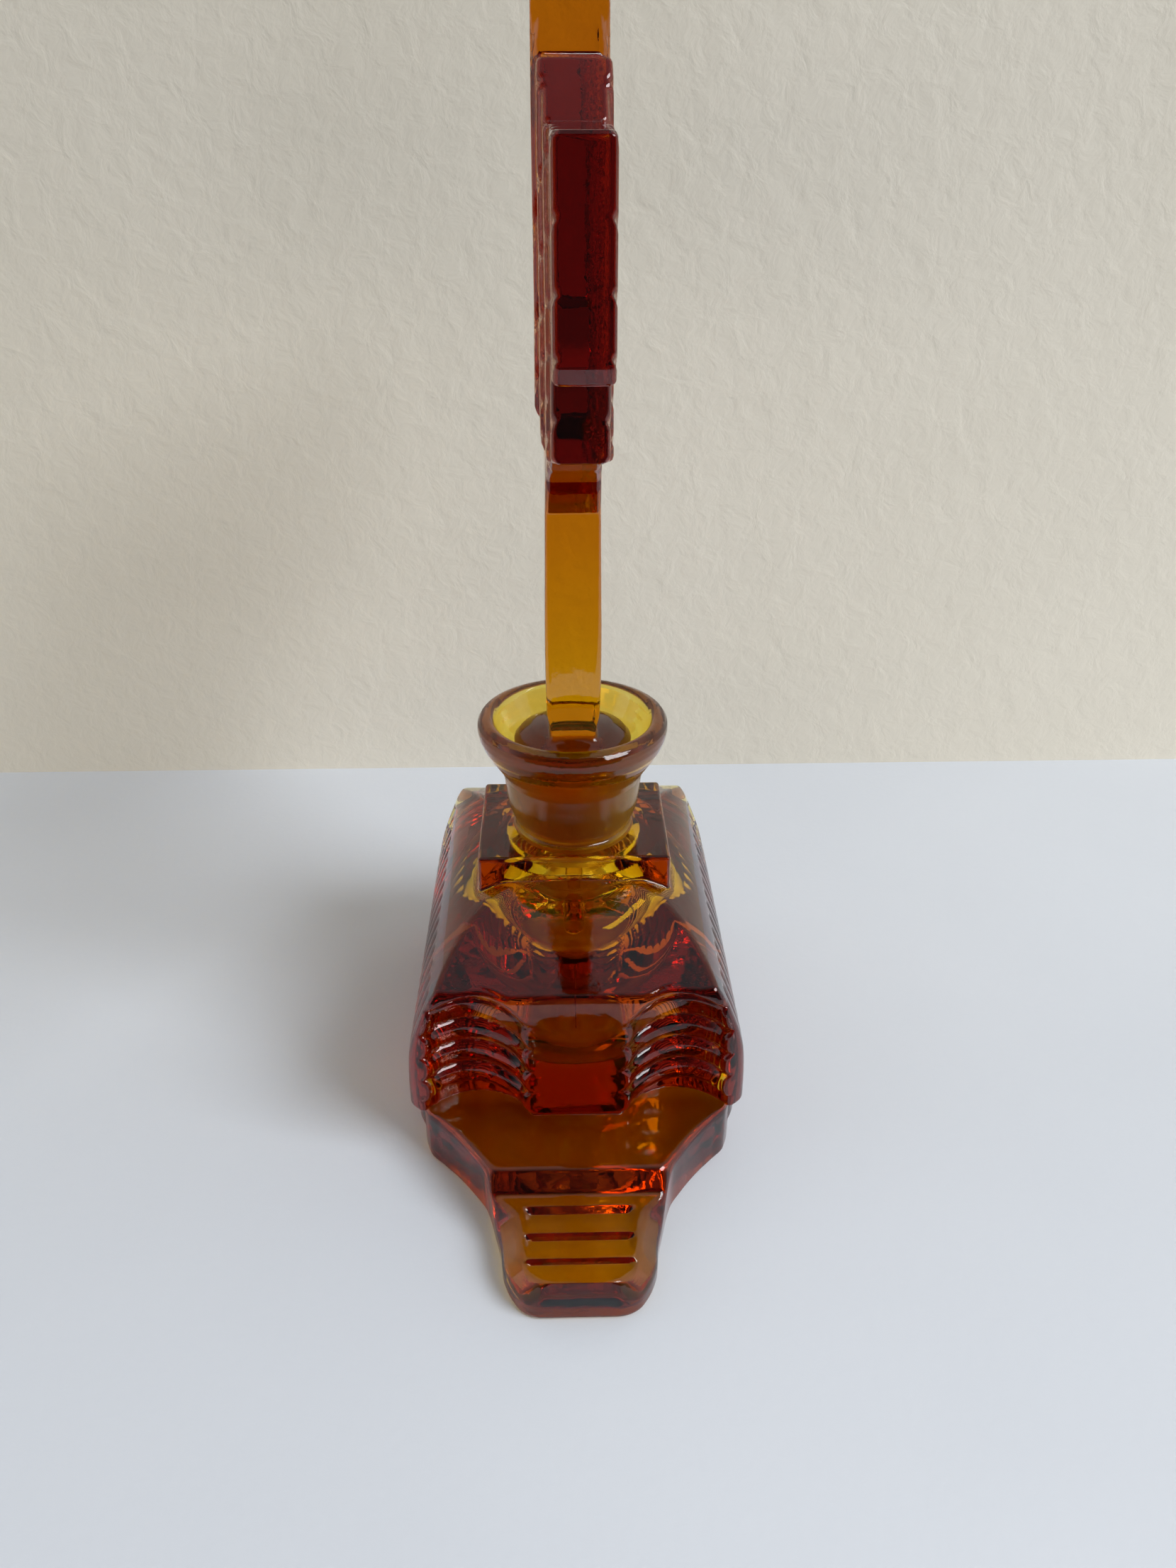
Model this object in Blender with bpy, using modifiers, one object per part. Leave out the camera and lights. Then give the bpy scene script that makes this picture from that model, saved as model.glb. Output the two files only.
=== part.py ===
"""Art Deco perfume bottle in pressed amber glass, with a ground stopper and its dauber rod.

Metres, +Z up. The origin is the centre of the plinth's underside. X runs along the long side of the bottle
and of the stopper's plaque, and Y through their thickness. Each piece is symmetric about its own X = 0 and
Y = 0 planes, and the stopper stands turned a little in the neck.

Three pieces of glass: bottle, stopper and dauber_rod. The stopper and the rod have their origins on the
neck's axis, up which they slide and about which they turn.
"""

import math

import bmesh
import bpy

MM = 0.001
GAP = 0.3 * MM
CURVE_STEPS = 40

# Plinth: half-stations along +X, each (x, half width, side wall height, half width of the top, top height).
PLINTH_STATIONS_MM = [
    (0.0, 20.0, 7.4, 19.5, 8.0),
    (21.0, 19.8, 7.4, 19.3, 8.0),
    (24.5, 18.9, 7.4, 18.4, 8.0),
    (26.6, 17.0, 7.4, 16.5, 8.0),
    (28.5, 15.2, 7.4, 14.7, 8.0),
    (31.3, 13.0, 7.4, 12.5, 8.0),
    (34.6, 11.0, 6.9, 10.3, 8.0),
    (36.4, 10.4, 4.9, 9.9, 5.5),
    (38.5, 9.9, 3.2, 7.9, 5.5),
    (42.0, 9.1, 2.9, 6.8, 5.5),
    (45.7, 8.3, 2.7, 5.9, 5.5),
    (47.6, 7.2, 2.6, 4.9, 5.3),
    (48.8, 6.2, 2.6, 4.4, 4.8),
    (49.1, 5.8, 2.5, 4.0, 4.4),
]
PLINTH_FOOT_CHAMFER = 0.6 * MM
# The steps across a tongue: the outline of each notch, (x, z), from its riser to its sloping floor.
NOTCHES_XZ_MM = [
    [(38.1, 5.7), (38.5, 4.8), (41.6, 5.7)],
    [(41.75, 5.7), (42.2, 4.8), (45.0, 5.7)],
    [(45.15, 5.7), (45.6, 4.8), (48.0, 5.7)],
]
NOTCH_HALF_LENGTH = 6.0 * MM

# Upper body: the plan outline with its end coves, ribs and pilaster.
BODY_BASE_Z = 4.0 * MM
NOTCH_Z = 7.5 * MM
RIB_START_Z = 8.3 * MM
RIB_PITCH = 3.5 * MM
RIB_COUNT = 5
RIB_HEIGHT = 0.8 * MM
RIB_CREST = (0.40, 0.75)
BODY_PRISM_TOP_Z = 34.0 * MM
PILASTER_X = 27.6 * MM
PILASTER_BEND_Z = 21.0 * MM
PILASTER_SLOPE = 0.25
PILASTER_HALF_WIDTH = 5.2 * MM
COVE_DEPTH = 5.2 * MM
COVE_DOME_Z = 20.5 * MM
COVE_DOME_HEIGHT = 6.0 * MM
COVE_STEPS = 8
HORN = (25.8 * MM, 17.2 * MM)
SIDE_START_X = 19.5 * MM
BODY_HALF_WIDTH = 22.0 * MM
CORNER_STEPS = 4
NOTCH_INSET = 1.6 * MM

# The vault gives the upper body its broad faces and shoulders: half its outline across the bottle, (y, z).
VAULT_MM = [(21.2, 3.0), (21.3, 8.0), (21.3, 11.5), (20.9, 15.5), (20.1, 19.0), (19.0, 22.4), (17.9, 25.0),
            (16.6, 27.2), (15.0, 29.0), (12.9, 30.6), (10.4, 31.9), (7.6, 32.9)]
# The gable slopes the vault's ends: half its outline along the bottle, (x, z).
GABLE_MM = [(32.0, 3.0), (32.0, 24.0), (10.0, 32.9)]
ENVELOPE_HALF_LENGTH = 32.0 * MM

# Neck platform, neck and lip.
BLOCK_HALF = (10.0 * MM, 12.2 * MM)
BLOCK_BASE_Z = 24.0 * MM
BLOCK_TOP_Z = 35.9 * MM
BLOCK_BEVEL = 0.5 * MM
NECK_PROFILE_MM = [(0.0, 51.3), (11.0, 51.3), (11.8, 50.9), (12.1, 49.8), (11.9, 48.7), (10.9, 46.6),
                   (9.4, 44.3), (8.8, 41.6), (8.6, 40.0), (8.1, 37.8), (7.8, 35.2), (7.8, 33.0), (0.0, 33.0)]
BORE_TOP_RADIUS = 7.2 * MM
BORE_FOOT_RADIUS = 6.6 * MM
THROAT_Z = 46.4 * MM
BORE_FOOT_Z = 34.0 * MM
BORE_SHOULDER_MM = [(8.8, 32.6), (10.0, 30.5), (10.0, 27.0), (0.0, 27.0)]
DISH_PROFILE_MM = [(0.0, 52.0), (10.2, 52.0), (10.0, 50.7), (9.1, 49.1), (8.1, 47.4)]

# Reservoir: an oval hollow with a bowl-shaped floor, under a roof that follows the gable. Each station is
# (z, half along X, half along Y).
RESERVOIR_STATIONS_MM = [
    (8.5, 6.3, 5.5),
    (9.2, 11.2, 9.8),
    (10.0, 12.9, 11.35),
    (11.5, 14.7, 12.95),
    (13.5, 15.9, 13.9),
    (17.5, 16.5, 14.5),
    (23.5, 16.5, 14.5),
    (26.0, 15.6, 13.8),
    (28.0, 13.2, 12.2),
    (29.0, 10.8, 10.8),
    (29.6, 8.5, 9.0),
]
RESERVOIR_STEPS = 32

# Stopper plaque: (z, half width along X, half thickness along Y).
PLAQUE_STATIONS_MM = [
    (48.2, 4.4, 2.8),
    (52.0, 4.6, 3.0),
    (56.0, 5.2, 3.2),
    (68.0, 6.8, 3.3),
    (79.5, 8.3, 3.1),
    (83.5, 11.0, 3.0),
    (88.8, 20.4, 2.85),
    (91.0, 34.0, 2.8),
    (97.4, 36.0, 2.55),
    (99.2, 42.6, 2.4),
    (100.4, 43.5, 2.4),
    (115.6, 43.5, 2.4),
    (115.9, 43.2, 2.4),
    (116.6, 25.0, 2.35),
    (121.2, 21.5, 2.3),
    (121.8, 9.5, 2.3),
    (128.0, 9.0, 2.2),
]
PLAQUE_EDGE_CHAMFER = 0.4 * MM
PLUG_TOP_Z = 46.6 * MM
PLUG_SEAT_FOOT_Z = 41.0 * MM
PLUG_END_MM = [(6.0, 38.0), (4.9, 35.6), (3.3, 34.2), (0.0, 33.8)]
PLUG_COLLAR_MM = [(0.0, 50.2), (3.6, 50.2), (5.4, 49.7), (7.2, 48.2)]
STOPPER_TURN = math.radians(0.9)

# Dauber rod.
ROD_RADIUS = 1.6 * MM
ROD_TIP_Z = 12.2 * MM
ROD_SOCKET_TOP_Z = 41.6 * MM
ROD_SOCKET_OPEN_Z = 33.0 * MM
ROD_TOP_CHAMFER = 0.3 * MM
ROD_STEPS = 20
ROD_TIP_STEPS = 5


def clear_scene():
    for old in list(bpy.data.objects):
        bpy.data.objects.remove(old, do_unlink=True)


def new_collection(name):
    collection = bpy.data.collections.new(name)
    bpy.context.scene.collection.children.link(collection)
    return collection


def glass(name, colour, roughness):
    """A transmissive Principled material for one piece of glass."""
    material = bpy.data.materials.new(name)
    material.use_nodes = True
    shader = material.node_tree.nodes["Principled BSDF"]
    shader.inputs["Base Color"].default_value = (*colour, 1.0)
    shader.inputs["Roughness"].default_value = roughness
    shader.inputs["Metallic"].default_value = 0.0
    shader.inputs["IOR"].default_value = 1.52
    shader.inputs["Transmission Weight"].default_value = 1.0
    material.diffuse_color = (*colour, 1.0)
    return material


def add_object(name, mesh, collection, material=None):
    piece = bpy.data.objects.new(name, mesh)
    collection.objects.link(piece)
    if material is not None:
        mesh.materials.append(material)
    return piece


def loft(name, rings, collection, material=None):
    """A closed solid through rings of equal point counts, with flat ends."""
    shape = bmesh.new()
    rows = [[shape.verts.new(point) for point in ring] for ring in rings]
    count = len(rows[0])
    for lower, upper in zip(rows, rows[1:]):
        for i in range(count):
            j = (i + 1) % count
            shape.faces.new((lower[i], lower[j], upper[j], upper[i]))
    shape.faces.new(list(reversed(rows[0])))
    shape.faces.new(rows[-1])
    bmesh.ops.recalc_face_normals(shape, faces=shape.faces)
    mesh = bpy.data.meshes.new(name)
    shape.to_mesh(mesh)
    shape.free()
    return add_object(name, mesh, collection, material)


def turned(name, profile, steps, collection, material=None):
    """A solid of revolution about Z. The profile runs down its outer side, from the axis back to it."""
    mesh = bpy.data.meshes.new(name)
    points = [(radius, 0.0, z) for radius, z in profile]
    edges = [(i, i + 1) for i in range(len(points) - 1)]
    mesh.from_pydata(points, edges, [])
    piece = add_object(name, mesh, collection, material)
    screw = piece.modifiers.new("Turn", "SCREW")
    screw.angle = 2 * math.pi
    screw.steps = steps
    screw.render_steps = steps
    screw.use_merge_vertices = True
    screw.merge_threshold = 0.00001
    return piece


def extruded(name, outline, half_depth, turn, collection):
    """A flat outline, given in the curve's own XY plane, filled and extruded both ways, then turned."""
    curve = bpy.data.curves.new(name, "CURVE")
    curve.dimensions = "2D"
    curve.fill_mode = "BOTH"
    curve.extrude = half_depth
    spline = curve.splines.new("POLY")
    spline.points.add(len(outline) - 1)
    for point, (u, v) in zip(spline.points, outline):
        point.co = (u, v, 0.0, 1.0)
    spline.use_cyclic_u = True
    drawn = bpy.data.objects.new(name, curve)
    collection.objects.link(drawn)
    bpy.context.view_layer.update()
    graph = bpy.context.evaluated_depsgraph_get()
    mesh = bpy.data.meshes.new_from_object(drawn.evaluated_get(graph))
    bpy.data.objects.remove(drawn)
    shape = bmesh.new()
    shape.from_mesh(mesh)
    bmesh.ops.remove_doubles(shape, verts=shape.verts, dist=0.00001)
    bmesh.ops.recalc_face_normals(shape, faces=shape.faces)
    shape.to_mesh(mesh)
    shape.free()
    solid = add_object(name, mesh, collection)
    solid.rotation_euler = turn
    return solid


def box(name, half, low_z, high_z, collection):
    shape = bmesh.new()
    bmesh.ops.create_cube(shape, size=1.0)
    for vertex in shape.verts:
        vertex.co.x *= 2 * half[0]
        vertex.co.y *= 2 * half[1]
        vertex.co.z = low_z if vertex.co.z < 0 else high_z
    mesh = bpy.data.meshes.new(name)
    shape.to_mesh(mesh)
    shape.free()
    return add_object(name, mesh, collection)


def combine(piece, operation, tool):
    """Joins, cuts or trims a piece with a tool object, which stays as a wire guide."""
    boolean = piece.modifiers.new(tool.name, "BOOLEAN")
    boolean.operation = operation
    boolean.solver = "EXACT"
    boolean.object = tool
    tool.hide_render = True
    tool.display_type = "WIRE"


def millimetres(points):
    return [tuple(value * MM for value in point) for point in points]


def mirrored_stations(half_stations):
    """Stations from -X to +X, given those from 0 outwards."""
    left = [(-station[0], *station[1:]) for station in reversed(half_stations[1:])]
    return left + list(half_stations)


def plinth_ring(x, half_width, side_height, top_half_width, top_height):
    c = PLINTH_FOOT_CHAMFER
    side = [
        (half_width - c, 0.0),
        (half_width, c),
        (half_width, side_height),
        (top_half_width, top_height),
    ]
    return [(x, y, z) for y, z in side] + [(x, -y, z) for y, z in reversed(side)]


def make_plinth(guides):
    stations = mirrored_stations(millimetres(PLINTH_STATIONS_MM))
    return loft("plinth", [plinth_ring(*station) for station in stations], guides)


def make_notch(name, outline, guides):
    """The notch between one step of a tongue and the next."""
    return extruded(name, outline, NOTCH_HALF_LENGTH, (math.pi / 2, 0.0, 0.0), guides)


def cove_depth(z):
    """The cove closes over in a dome at its top."""
    share = min(1.0, max(0.0, z - COVE_DOME_Z) / COVE_DOME_HEIGHT)
    return COVE_DEPTH * math.sqrt(1 - share * share)


def body_quarter(pilaster_x, depth, rib, inset):
    """The plan outline from the pilaster to the middle of the broad face. rib is the ribs' height."""
    edge = (pilaster_x - inset, PILASTER_HALF_WIDTH)
    horn = (HORN[0] - inset, HORN[1] - inset)
    half_width = BODY_HALF_WIDTH - inset
    points = [(edge[0], 0.0), edge]
    for i in range(1, COVE_STEPS):
        t = i / COVE_STEPS
        dip = math.sin(math.pi * t)
        x = edge[0] + t * (horn[0] - edge[0]) - depth * dip + rib * math.sqrt(dip)
        points.append((x, edge[1] + t * (horn[1] - edge[1])))
    for i in range(CORNER_STEPS + 1):
        angle = 0.5 * math.pi * i / CORNER_STEPS
        x = SIDE_START_X + (horn[0] - SIDE_START_X) * math.cos(angle)
        points.append((x, horn[1] + (half_width - horn[1]) * math.sin(angle)))
    points.append((0.0, half_width))
    return points


def body_ring(z, rib, inset=0.0):
    pilaster_x = PILASTER_X - PILASTER_SLOPE * max(0.0, z - PILASTER_BEND_Z)
    depth = cove_depth(z)
    quarter = body_quarter(pilaster_x, depth, rib * depth / COVE_DEPTH, inset)
    right = quarter + [(-x, y) for x, y in reversed(quarter[:-1])]
    outline = right + [(x, -y) for x, y in reversed(right[1:-1])]
    return [(x, y, z) for x, y in outline]


def make_body_prism(guides):
    """The upper body's plan outline, standing straight, with the ribs across its coves."""
    rings = [
        body_ring(BODY_BASE_Z, 0.0, NOTCH_INSET),
        body_ring(NOTCH_Z, 0.0, NOTCH_INSET),
        body_ring(RIB_START_Z, 0.0),
    ]
    for i in range(RIB_COUNT):
        foot = RIB_START_Z + i * RIB_PITCH
        for step in RIB_CREST:
            rings.append(body_ring(foot + step * RIB_PITCH, RIB_HEIGHT))
        rings.append(body_ring(foot + RIB_PITCH, 0.0))
    rings.append(body_ring(BODY_PRISM_TOP_Z, 0.0))
    return loft("body", rings, guides)


def symmetric(half):
    """A whole outline from its half at positive u."""
    return list(half) + [(-u, v) for u, v in reversed(half)]


def make_vault(guides):
    upright = (math.pi / 2, 0.0, math.pi / 2)
    return extruded("vault", symmetric(millimetres(VAULT_MM)), ENVELOPE_HALF_LENGTH, upright, guides)


def make_gable(guides):
    upright = (math.pi / 2, 0.0, 0.0)
    return extruded("gable", symmetric(millimetres(GABLE_MM)), ENVELOPE_HALF_LENGTH, upright, guides)


def make_block(guides):
    block = box("neck_platform", BLOCK_HALF, BLOCK_BASE_Z, BLOCK_TOP_Z, guides)
    bevel = block.modifiers.new("Edges", "BEVEL")
    bevel.width = BLOCK_BEVEL
    bevel.segments = 1
    return block


def reservoir_ring(z, half_x, half_y):
    angles = [2 * math.pi * i / RESERVOIR_STEPS for i in range(RESERVOIR_STEPS)]
    return [(half_x * math.cos(angle), half_y * math.sin(angle), z) for angle in angles]


def make_reservoir(guides):
    rings = [reservoir_ring(*station) for station in millimetres(RESERVOIR_STATIONS_MM)]
    return loft("reservoir", rings, guides)


def bore_radius(z):
    """The ground seat tapers, and the plug follows it."""
    t = (z - BORE_FOOT_Z) / (THROAT_Z - BORE_FOOT_Z)
    return BORE_FOOT_RADIUS + t * (BORE_TOP_RADIUS - BORE_FOOT_RADIUS)


def make_bore(guides):
    profile = millimetres(DISH_PROFILE_MM)
    profile += [
        (BORE_TOP_RADIUS, THROAT_Z),
        (BORE_FOOT_RADIUS, BORE_FOOT_Z),
    ]
    profile += millimetres(BORE_SHOULDER_MM)
    return turned("bore", profile, CURVE_STEPS, guides)


def make_bottle(parts, guides):
    bottle = make_plinth(parts)
    bottle.name = "bottle"
    bottle.data.materials.append(glass("bottle_glass", (0.45, 0.14, 0.02), 0.04))
    body = make_body_prism(guides)
    combine(body, "INTERSECT", make_vault(guides))
    combine(body, "INTERSECT", make_gable(guides))
    combine(bottle, "UNION", body)
    combine(bottle, "UNION", make_block(guides))
    combine(bottle, "UNION", turned("neck", millimetres(NECK_PROFILE_MM), CURVE_STEPS, guides))
    combine(bottle, "DIFFERENCE", make_reservoir(guides))
    combine(bottle, "DIFFERENCE", make_bore(guides))
    for outline in NOTCHES_XZ_MM:
        front = millimetres(outline)
        back = [(-x, z) for x, z in front]
        combine(bottle, "DIFFERENCE", make_notch("front_notch", front, guides))
        combine(bottle, "DIFFERENCE", make_notch("back_notch", back, guides))
    return bottle


def plaque_ring(z, half_width, half_thickness):
    c = PLAQUE_EDGE_CHAMFER
    corner = [(half_width, half_thickness - c), (half_width - c, half_thickness)]
    quarter = corner + [(-x, y) for x, y in reversed(corner)]
    outline = quarter + [(-x, -y) for x, y in quarter]
    return [(x, y, z) for x, y in outline]


def make_plug(guides):
    """The ground plug, with a low clear dome above the seat and a rounded lower end."""
    profile = millimetres(PLUG_COLLAR_MM)
    profile += [
        (bore_radius(PLUG_TOP_Z) - GAP, PLUG_TOP_Z),
        (bore_radius(PLUG_SEAT_FOOT_Z) - GAP, PLUG_SEAT_FOOT_Z),
    ]
    profile += millimetres(PLUG_END_MM)
    return turned("plug", profile, CURVE_STEPS, guides)


def make_rod_socket(guides):
    radius = ROD_RADIUS + GAP
    profile = [
        (0.0, ROD_SOCKET_TOP_Z),
        (radius, ROD_SOCKET_TOP_Z),
        (radius, ROD_SOCKET_OPEN_Z),
        (0.0, ROD_SOCKET_OPEN_Z),
    ]
    return turned("rod_socket", profile, ROD_STEPS, guides)


def make_stopper(parts, guides):
    rings = [plaque_ring(*station) for station in millimetres(PLAQUE_STATIONS_MM)]
    material = glass("stopper_glass", (0.50, 0.20, 0.03), 0.04)
    stopper = loft("stopper", rings, parts, material)
    combine(stopper, "UNION", make_plug(guides))
    combine(stopper, "DIFFERENCE", make_rod_socket(guides))
    stopper.rotation_euler.z = STOPPER_TURN
    return stopper


def make_dauber_rod(parts):
    """A drawn glass rod with fire-rounded ends."""
    top = ROD_SOCKET_TOP_Z - GAP
    profile = [(0.0, top), (ROD_RADIUS - ROD_TOP_CHAMFER, top), (ROD_RADIUS, top - ROD_TOP_CHAMFER)]
    for i in range(ROD_TIP_STEPS + 1):
        angle = 0.5 * math.pi * i / ROD_TIP_STEPS
        radius = ROD_RADIUS * math.cos(angle) if i < ROD_TIP_STEPS else 0.0
        profile.append((radius, ROD_TIP_Z + ROD_RADIUS * (1 - math.sin(angle))))
    return turned("dauber_rod", profile, ROD_STEPS, parts, glass("rod_glass", (0.60, 0.30, 0.05), 0.04))


def main():
    clear_scene()
    parts = new_collection("perfume_bottle")
    guides = new_collection("guides")
    make_bottle(parts, guides)
    make_stopper(parts, guides)
    make_dauber_rod(parts)


main()
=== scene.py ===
import math

import bpy
import numpy as np
from mathutils import Matrix, Vector

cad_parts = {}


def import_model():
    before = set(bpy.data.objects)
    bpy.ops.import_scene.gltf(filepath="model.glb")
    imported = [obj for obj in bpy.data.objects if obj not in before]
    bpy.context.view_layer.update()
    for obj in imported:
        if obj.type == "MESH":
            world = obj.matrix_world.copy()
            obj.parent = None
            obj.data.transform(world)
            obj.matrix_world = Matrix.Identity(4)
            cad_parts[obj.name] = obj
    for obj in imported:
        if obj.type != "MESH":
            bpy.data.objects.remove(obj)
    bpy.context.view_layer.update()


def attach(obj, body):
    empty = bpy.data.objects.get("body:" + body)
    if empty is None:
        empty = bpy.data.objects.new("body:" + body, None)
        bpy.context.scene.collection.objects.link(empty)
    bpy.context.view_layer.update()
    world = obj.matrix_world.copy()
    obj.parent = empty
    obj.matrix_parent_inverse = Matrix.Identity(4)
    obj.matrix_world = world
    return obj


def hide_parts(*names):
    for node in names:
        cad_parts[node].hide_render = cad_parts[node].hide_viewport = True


# Looks for the pressed glass perfume bottle: the bottle, the stopper and the dauber rod.
#
# Each pressed piece is a field of signed distances in millimetres, below zero inside the glass, which a mesh
# follows. Blending two distances rounds the edge between them, as a mould and fire polishing do. The pieces
# are the same about X = 0 and Y = 0, so a field is worked out from |x|, |y| and z.

MM = 0.001
STOPPER_TURN = math.radians(0.9)

# Plinth, from the middle of the bottle out to the end of a tongue.
PLINTH_HALF_WIDTH = [(0, 20.0), (21, 19.8), (24.5, 18.9), (26.6, 17.0), (28.5, 15.2), (31.3, 13.0),
                     (34.1, 11.2), (38.5, 9.9), (42, 9.1), (43.8, 8.9), (45.7, 8.3), (47.6, 7.2), (49.1, 5.8)]
PLINTH_SIDE_HEIGHT = [(0, 7.4), (33.0, 7.4), (35.5, 6.3), (37.5, 4.2), (39.5, 3.0), (49.1, 2.6)]
SIDE_BEVEL = 1.15
PLINTH_FLAT_Z = 8.0
STEP_TOP_X = 34.6
STEP_SLOPE = 1.41
TONGUE_Z = 5.5
TONGUE_STEPS = [34.0, 38.5, 42.2, 45.6, 48.9]
TONGUE_STEP_DEPTH = 0.9
TONGUE_STEP_HALF_LENGTH = 6.0
PLINTH_END_X = 49.1

# Upper body. CORNER is (x, y, radius) of the rounded corner in plan.
PILASTER_X = 27.6
PILASTER_BEND_Z = 21.0
PILASTER_SLOPE = 0.25
COVE_AXIS = (28.5, 12.5)
COVE_RADIUS = 7.2
COVE_DOME_Z = 20.8
CHORD_NORMAL = (0.989, 0.148)
CHORD_DISTANCE = 28.07
CORNER = (26.0, 22.0, 5.6)
RIB_START_Z = 8.3
RIB_PITCH = 3.5
RIB_COUNT = 5
RIB_HEIGHT = 0.8
RIB_RISE = 1.6
NOTCH_INSET = 1.6
VAULT = [(3.0, 21.35), (8.0, 21.35), (11.5, 21.3), (15.5, 20.95), (19.0, 20.15), (22.4, 19.0), (25.0, 17.9),
         (27.2, 16.6), (29.0, 15.0), (30.6, 12.9), (31.9, 10.4), (32.9, 7.6), (33.6, 4.0), (33.8, 0.0)]
REED_PITCH = 2.95
REED_DEPTH = 0.55
REED_TOP_Z = 24.0
GABLE_TOP = (10.0, 32.9)
GABLE_SLOPE = 0.404
BLOCK_HALF = (10.0, 12.2)
BLOCK_TOP_Z = 35.9

# Neck, lip, bore and reservoir: (radius, z), from the top of the rim down each side.
NECK_OUTSIDE = [(0.0, 51.3), (11.0, 51.3), (11.7, 51.05), (12.05, 50.5), (12.1, 49.8), (11.95, 48.9),
                (11.5, 47.7), (10.9, 46.6), (10.1, 45.4), (9.35, 44.3), (8.95, 43.2), (8.75, 41.6),
                (8.6, 40.0), (8.3, 38.6), (7.9, 37.4), (7.4, 36.5), (7.2, 35.0), (7.2, 33.0), (0.0, 33.0)]
NECK_INSIDE = [(0.0, 54.0), (10.3, 54.0), (10.15, 51.3), (9.7, 50.2), (9.1, 49.1), (8.5, 48.2), (7.9, 47.2),
               (7.2, 46.2), (6.7, 34.0), (8.8, 32.6), (10.0, 30.5), (10.0, 27.0), (0.0, 27.0)]
RESERVOIR_HALF = (16.5, 14.5)
RESERVOIR_MIDDLE_Z = 20.0
RESERVOIR_HALF_HEIGHT = 11.5
RESERVOIR_ROUND = 9.0
RESERVOIR_ROOF_Z = 30.0
RESERVOIR_WALL = 3.2

# Stopper: the plaque's half outline from the foot up, (x, z), and its half thickness at each height.
PLAQUE_EDGE = [(4.4, 48.6), (8.3, 79.5), (11.0, 83.5), (20.4, 88.8), (34.0, 91.0), (35.4, 98.5), (42.6, 99.0),
               (43.5, 100.4), (43.5, 115.6), (43.2, 116.0), (25.0, 116.6), (21.5, 121.2), (9.5, 121.8),
               (9.0, 128.0)]
PLAQUE_HALF_THICKNESS = [(47, 2.6), (51, 2.8), (53.5, 3.25), (61.7, 3.35), (72.6, 3.2), (83.3, 3.0),
                         (90, 2.6), (97.4, 2.5), (100, 2.45), (115.6, 2.4), (128, 2.25)]
TIERS = [(32.0, 0.4), (23.0, 0.45), (9.2, 0.5)]
FAN_CENTRE_Z = 70.0
FAN_RAY = math.radians(3.75)
FAN_CUT_HALF_WIDTH = 0.4
PLUG = [(0.0, 50.2), (3.4, 50.2), (5.2, 49.8), (6.8, 49.0), (7.5, 48.2), (7.45, 47.2), (6.9, 46.3),
        (6.6, 41.0), (6.3, 38.8), (5.7, 37.0), (4.9, 35.6), (3.9, 34.6), (2.6, 34.0), (0.0, 33.8)]
ROD_RADIUS = 1.6
ROD_SOCKET_TOP_Z = 41.6
ROD_TIP_Z = 12.2
SOCKET_GAP = 0.3

# Glass: what it absorbs in each metre, its surface, how far parts of it tint what passes through them, and
# the painted shade on the underside's ends and the tongue's step.
AMBER = (0.9615, 0.86, 0.02)
AMBER_DENSITY = 650.0
GLASS_IOR = 1.52
EDGE_WEAR = 0.16
SATIN_ROUGHNESS = 0.18
GROUND_ROUGHNESS = 0.42
CLEAR_TINT = (1.0, 0.985, 0.93)
CORD_TINT = (0.96, 0.90, 0.78)
SEAT_TINT = (0.80, 0.50, 0.14)
LIP_TINT = (0.97, 0.84, 0.55)
# Painted shade: the underside of the plinth's ends is darkened. Under the tongues it is darkened less and
# reddened, for the shaded table seen through the glass.
PLINTH_UNDERSIDE_PAINTED_SHADE = (0.6, 0.36, 0.3)
TONGUE_UNDERSIDE_PAINTED_SHADE = (1.0, 0.66, 0.5)
# Painted shade: the riser of the tongue's step is painted near black.
STEP_PAINTED_SHADE = (0.22, 0.16, 0.16)

# The setting, in metres: a narrow strip of table that ends at a low wall, and the camera.
STAGE_HALF_X = 0.082
STAGE_HALF_Y = 0.9
TABLE_Z = -0.00005
WALL_FOOT_Z = -0.05
WALL_TOP_Z = 0.25
CAMERA_PLACE = (0.135, -0.00133, 0.1159)
CAMERA_YAW = math.radians(1.4)
CAMERA_PITCH = math.radians(29.0)
CAMERA_LENS = 27.05


def course(points, step=0.05):
    """A smooth line through (u, v) points that doesn't overshoot them: it gives v and its slope at any u."""
    u, v = np.array(points, float).T
    width = np.diff(u)
    rise = np.diff(v) / width
    slope = np.zeros_like(u)
    slope[0], slope[-1] = rise[0], rise[-1]
    for i in range(1, len(u) - 1):
        if rise[i - 1] * rise[i] > 0:
            a = 2 * width[i] + width[i - 1]
            b = width[i] + 2 * width[i - 1]
            slope[i] = (a + b) / (a / rise[i - 1] + b / rise[i])
    fine = np.arange(u[0], u[-1] + step / 2, step)
    i = np.clip(np.searchsorted(u, fine, side="right") - 1, 0, len(width) - 1)
    t = (fine - u[i]) / width[i]
    value = (1 + 2 * t) * (1 - t) ** 2 * v[i] + t * t * (3 - 2 * t) * v[i + 1]
    value += width[i] * (t * (1 - t) ** 2 * slope[i] - t * t * (1 - t) * slope[i + 1])
    steep = np.gradient(value, fine)
    return lambda x: (np.interp(x, fine, value), np.interp(x, fine, steep))


def below(height, line, u):
    """The distance above a line, from its height and its slope at u."""
    value, slope = line(u)
    return (height - value) / np.sqrt(1 + slope * slope)


def smooth_max(a, b, k):
    """What is inside both, with the edge between them rounded over k."""
    h = np.maximum(k - np.abs(a - b), 0.0) / k
    return np.maximum(a, b) + 0.25 * k * h * h


def smooth_min(a, b, k):
    """What is inside either, with the joint between them filleted over k."""
    return -smooth_max(-a, -b, k)


def step_up(low, high, value):
    t = np.clip((value - low) / (high - low), 0, 1)
    return t * t * (3 - 2 * t)


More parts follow.
